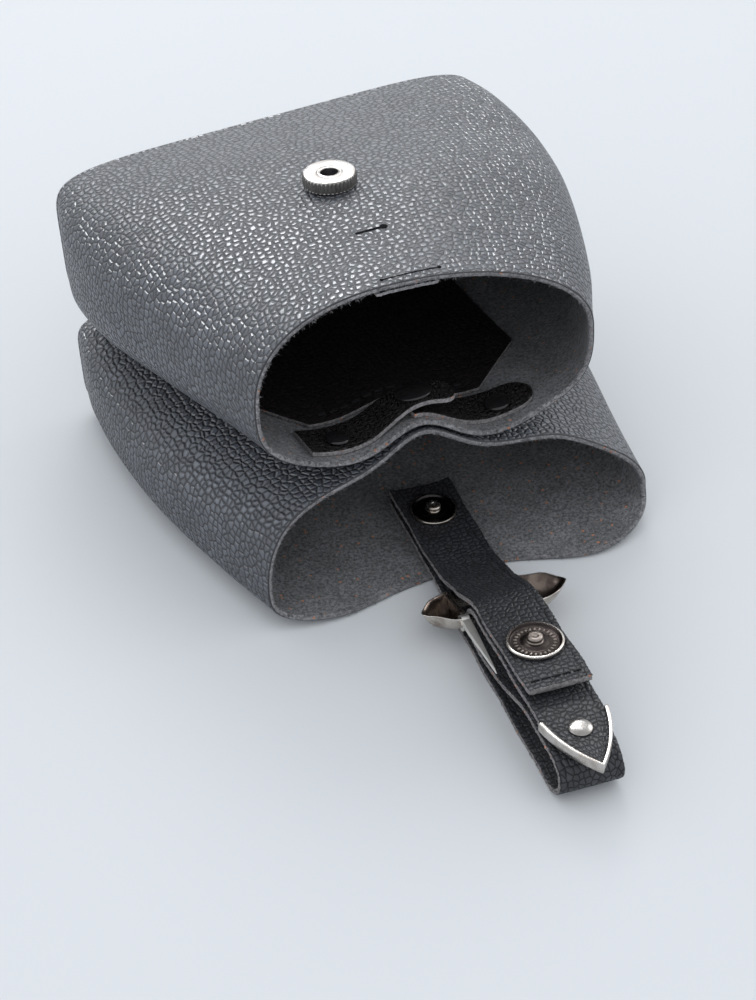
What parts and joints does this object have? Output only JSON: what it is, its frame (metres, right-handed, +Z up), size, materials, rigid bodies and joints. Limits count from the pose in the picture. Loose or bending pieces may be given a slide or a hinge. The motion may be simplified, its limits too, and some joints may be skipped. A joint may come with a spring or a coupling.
{
  "type": "twin-pouch leather bag",
  "caption": "Small soft leather bag with two stacked open pouches, a magnetic front snap, riveted inner tabs and a buckled snap strap with a metal end.",
  "frame": {"origin": "middle of the flat rest face under the lower pouch", "axes": "+Z up from the rest face, the mouths face -Y, +X to the right seen from the mouths"},
  "size_m": [0.1693, 0.2666, 0.11],
  "materials": {
    "leather_grain": "pebbled grain, satin, raw cut edges",
    "leather_strap": "pebbled grain, creased along the edges",
    "leather_glazed": "pebbled grain, glossy",
    "leather_smooth": "smooth lining leather",
    "thread": "waxed thread",
    "black_enamel": "gloss black enamel",
    "bright_nickel": "polished nickel plate",
    "aged_nickel": "bright rim, dark hollow back",
    "dark_nickel": "antiqued nickel plate",
    "black_nickel": "black nickel plate",
    "magnet": "sintered magnet"
  },
  "bodies": {
    "bag": {"upper_pouch_shell": "leather_grain", "lower_pouch_shell": "leather_grain", "upper_base_panel": "leather_grain", "lower_base_panel": "leather_grain", "pocket_panel": "leather_smooth", "pocket_stitches": "thread", "mouth_patch": "leather_smooth", "right_tab": "leather_glazed", "left_tab_base": "leather_glazed", "left_tab_rivet": "black_enamel", "right_tab_rivet": "black_enamel", "snap_housing": "bright_nickel", "snap_magnet": "magnet", "snap_back_plate": "bright_nickel", "upper_strap_root": "leather_strap", "loop_strap_root": "leather_strap", "root_stud": "black_nickel"},
    "tab_end": {"left_tab_flap": "leather_glazed", "tab_snap_cap": "black_enamel"},
    "strap_loop": {"upper_strap": "leather_strap", "loop_strap": "leather_strap", "strap_tip": "bright_nickel", "tip_rivet": "bright_nickel"},
    "strap_end": {"strap_flap": "leather_strap", "flap_stitches": "thread", "flap_snap_stud": "dark_nickel", "flap_snap_washer": "bright_nickel"},
    "buckle": {"buckle_frame": "aged_nickel", "buckle_bar": "bright_nickel"},
    "prong": {"buckle_prong": "bright_nickel"}
  },
  "joints": [
    {"name": "tab_lift", "type": "hinge", "parent": "bag", "child": "tab_end", "pos_m": [-0.02, -0.0515, 0.05676], "axis": [0, -0.985, 0.1723], "range_deg": [0, 50]},
    {"name": "strap_lift", "type": "hinge", "parent": "bag", "child": "strap_loop", "pos_m": [0.00306, -0.07389, 0.00766], "axis": [-0.9962, 0.0872, 0], "range_deg": [0, 55]},
    {"name": "end_lift", "type": "hinge", "parent": "strap_loop", "child": "strap_end", "pos_m": [-0.00025, -0.11175, 0.02198], "axis": [-0.9962, 0.0872, 0], "range_deg": [0, 60]},
    {"name": "buckle_rock", "type": "hinge", "parent": "strap_loop", "child": "buckle", "pos_m": [0.00032, -0.10517, 0.012], "axis": [-0.9962, 0.0872, 0], "range_deg": [0, 3]},
    {"name": "prong_swing", "type": "hinge", "parent": "buckle", "child": "prong", "pos_m": [-0.01183, -0.10411, 0.012], "axis": [-0.9962, 0.0872, 0], "range_deg": [0, 130]}
  ]
}
